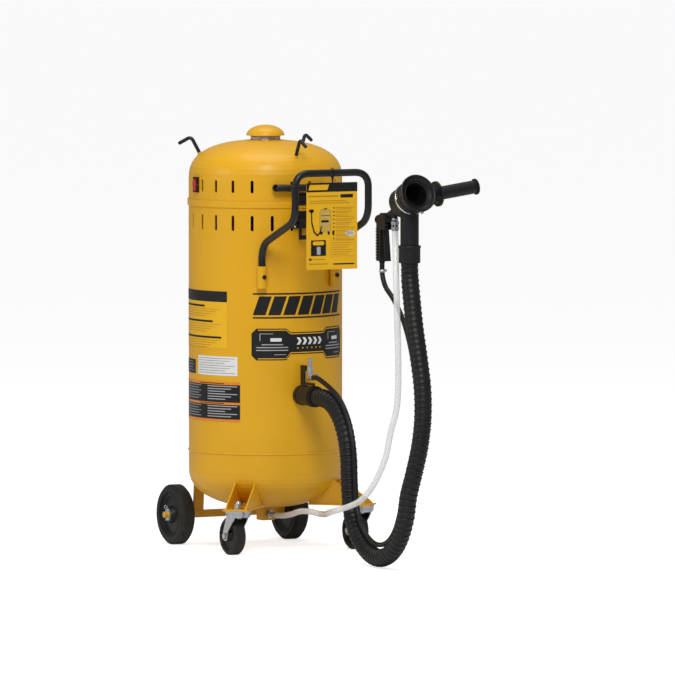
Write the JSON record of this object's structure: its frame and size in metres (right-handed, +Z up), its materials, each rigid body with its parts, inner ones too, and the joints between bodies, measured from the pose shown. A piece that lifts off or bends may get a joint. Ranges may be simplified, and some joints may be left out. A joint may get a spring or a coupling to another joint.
{
  "type": "portable abrasive blast vacuum",
  "caption": "Wheeled upright yellow tank with a hinged suction lid, bent push handle, casters, and a hand-held abrasive blast head on vacuum, air and media hoses.",
  "frame": {"origin": "on the floor directly below the tank's axis", "axes": "+Z up, front of the machine and its hoses towards -Y, +X to the right seen from the front"},
  "size_m": [0.4778, 1.167, 1.122],
  "materials": {
    "yellow_paint": "satin powder coat",
    "black_paint": "satin powder coat",
    "black_plastic": "moulded, fine grain",
    "black_rubber": "matte",
    "wheel_rubber": "moulded solid wheel",
    "zinc": "zinc plated",
    "steel": "machined",
    "filter_paper": "pleated",
    "red_plastic": "gloss",
    "clear_hose": "clear flexible PVC",
    "card": "coated card"
  },
  "bodies": {
    "root": {"tank_shell": "yellow_paint", "inlet_port": "yellow_paint", "tank_cuff": "black_rubber", "air_bracket": "black_paint", "air_tee": "zinc", "air_plug": "zinc", "outlet_block": "yellow_paint", "outlet_barb": "zinc", "handle_sockets": "yellow_paint", "push_handle": "black_paint", "handle_bolts": "black_paint", "axle_legs": "yellow_paint", "axle": "yellow_paint", "axle_keepers": "zinc", "caster_brackets": "yellow_paint", "caster_stems": "zinc", "caster_nuts": "zinc", "lid_gasket": "black_rubber", "motor_deck": "zinc", "motor_housing": "black_plastic", "motor_bearing": "steel", "filter_cartridge": "filter_paper", "debris_screen": "steel", "power_inlet": "black_plastic", "hinge_base": "zinc", "hinge_pin": "steel", "latch_base": "black_paint", "latch_pin": "zinc", "head_tube": "black_plastic", "head_body": "black_plastic", "rubber_cup": "black_rubber", "side_handle": "black_plastic", "gun_body": "black_plastic", "vacuum_hose": "black_rubber", "air_hose": "black_rubber", "media_hose": "clear_hose"},
    "lid": {"lid_dome": "yellow_paint", "vent_band": "zinc", "vent_cap": "yellow_paint", "lid_hooks": "black_paint", "grab_bar": "black_paint", "hinge_leaf": "zinc", "latch_keeper": "black_paint", "switch_frame": "black_plastic"},
    "switch": {"switch_rocker": "red_plastic"},
    "lever": {"latch_lever": "black_paint"},
    "bail": {"latch_bail": "black_paint"},
    "fan": {"impeller": "steel"},
    "tag": {"hang_tag": "card"},
    "trigger": {"gun_trigger": "black_plastic"},
    "wheel_left": {"wheel_tread_left": "wheel_rubber", "wheel_hub_left": "black_plastic"},
    "wheel_right": {"wheel_tread_right": "wheel_rubber", "wheel_hub_right": "black_plastic"},
    "caster_left": {"fork_left": "zinc", "caster_axle_left": "zinc"},
    "caster_right": {"fork_right": "zinc", "caster_axle_right": "zinc"},
    "small_wheel_left": {"caster_wheel_left": "wheel_rubber"},
    "small_wheel_right": {"caster_wheel_right": "wheel_rubber"}
  },
  "joints": [
    {"name": "lid_hinge", "type": "hinge", "parent": "root", "child": "lid", "pos_m": [0, 0.216, 0.903], "axis": [-1, 0, 0], "range_deg": [0, 95]},
    {"name": "switch_rock", "type": "hinge", "parent": "lid", "child": "switch", "pos_m": [-0.208, 0, 0.968], "axis": [0, 1, 0], "range_deg": [-6, 6]},
    {"name": "latch_lever_swing", "type": "hinge", "parent": "root", "child": "lever", "pos_m": [0, -0.219, 0.88], "axis": [-1, 0, 0], "range_deg": [0, 150]},
    {"name": "latch_bail_swing", "type": "hinge", "parent": "lever", "child": "bail", "pos_m": [0, -0.217, 0.868], "axis": [-1, 0, 0], "range_deg": [-187.5, 0]},
    {"name": "fan_spin", "type": "hinge", "parent": "root", "child": "fan", "pos_m": [0, 0, 0.9], "axis": [0, 0, 1], "continuous": true},
    {"name": "tag_swing", "type": "hinge", "parent": "root", "child": "tag", "pos_m": [0, -0.375, 1.01], "axis": [1, 0, 0], "range_deg": [-35, 25]},
    {"name": "trigger_pull", "type": "hinge", "parent": "root", "child": "trigger", "pos_m": [0.05, -0.578, 0.884], "axis": [1, 0, 0], "range_deg": [0, 8], "stiffness_Nm_per_rad": 0.6, "springref_deg": -17.19},
    {"name": "wheel_spin_left", "type": "hinge", "parent": "root", "child": "wheel_left", "pos_m": [-0.171, 0.19, 0.08], "axis": [1, 0, 0], "continuous": true},
    {"name": "caster_swivel_left", "type": "hinge", "parent": "root", "child": "caster_left", "pos_m": [-0.183, -0.195, 0.105], "axis": [0, 0, 1], "continuous": true},
    {"name": "caster_spin_left", "type": "hinge", "parent": "caster_left", "child": "small_wheel_left", "pos_m": [-0.183, -0.163, 0.05], "axis": [1, 0, 0], "continuous": true},
    {"name": "wheel_spin_right", "type": "hinge", "parent": "root", "child": "wheel_right", "pos_m": [0.171, 0.19, 0.08], "axis": [1, 0, 0], "continuous": true},
    {"name": "caster_swivel_right", "type": "hinge", "parent": "root", "child": "caster_right", "pos_m": [0.183, -0.195, 0.105], "axis": [0, 0, 1], "continuous": true},
    {"name": "caster_spin_right", "type": "hinge", "parent": "caster_right", "child": "small_wheel_right", "pos_m": [0.183, -0.163, 0.05], "axis": [1, 0, 0], "continuous": true}
  ],
  "couplings": [
    {"joint": "latch_bail_swing", "follows": "latch_lever_swing", "ratio": -1.25}
  ]
}
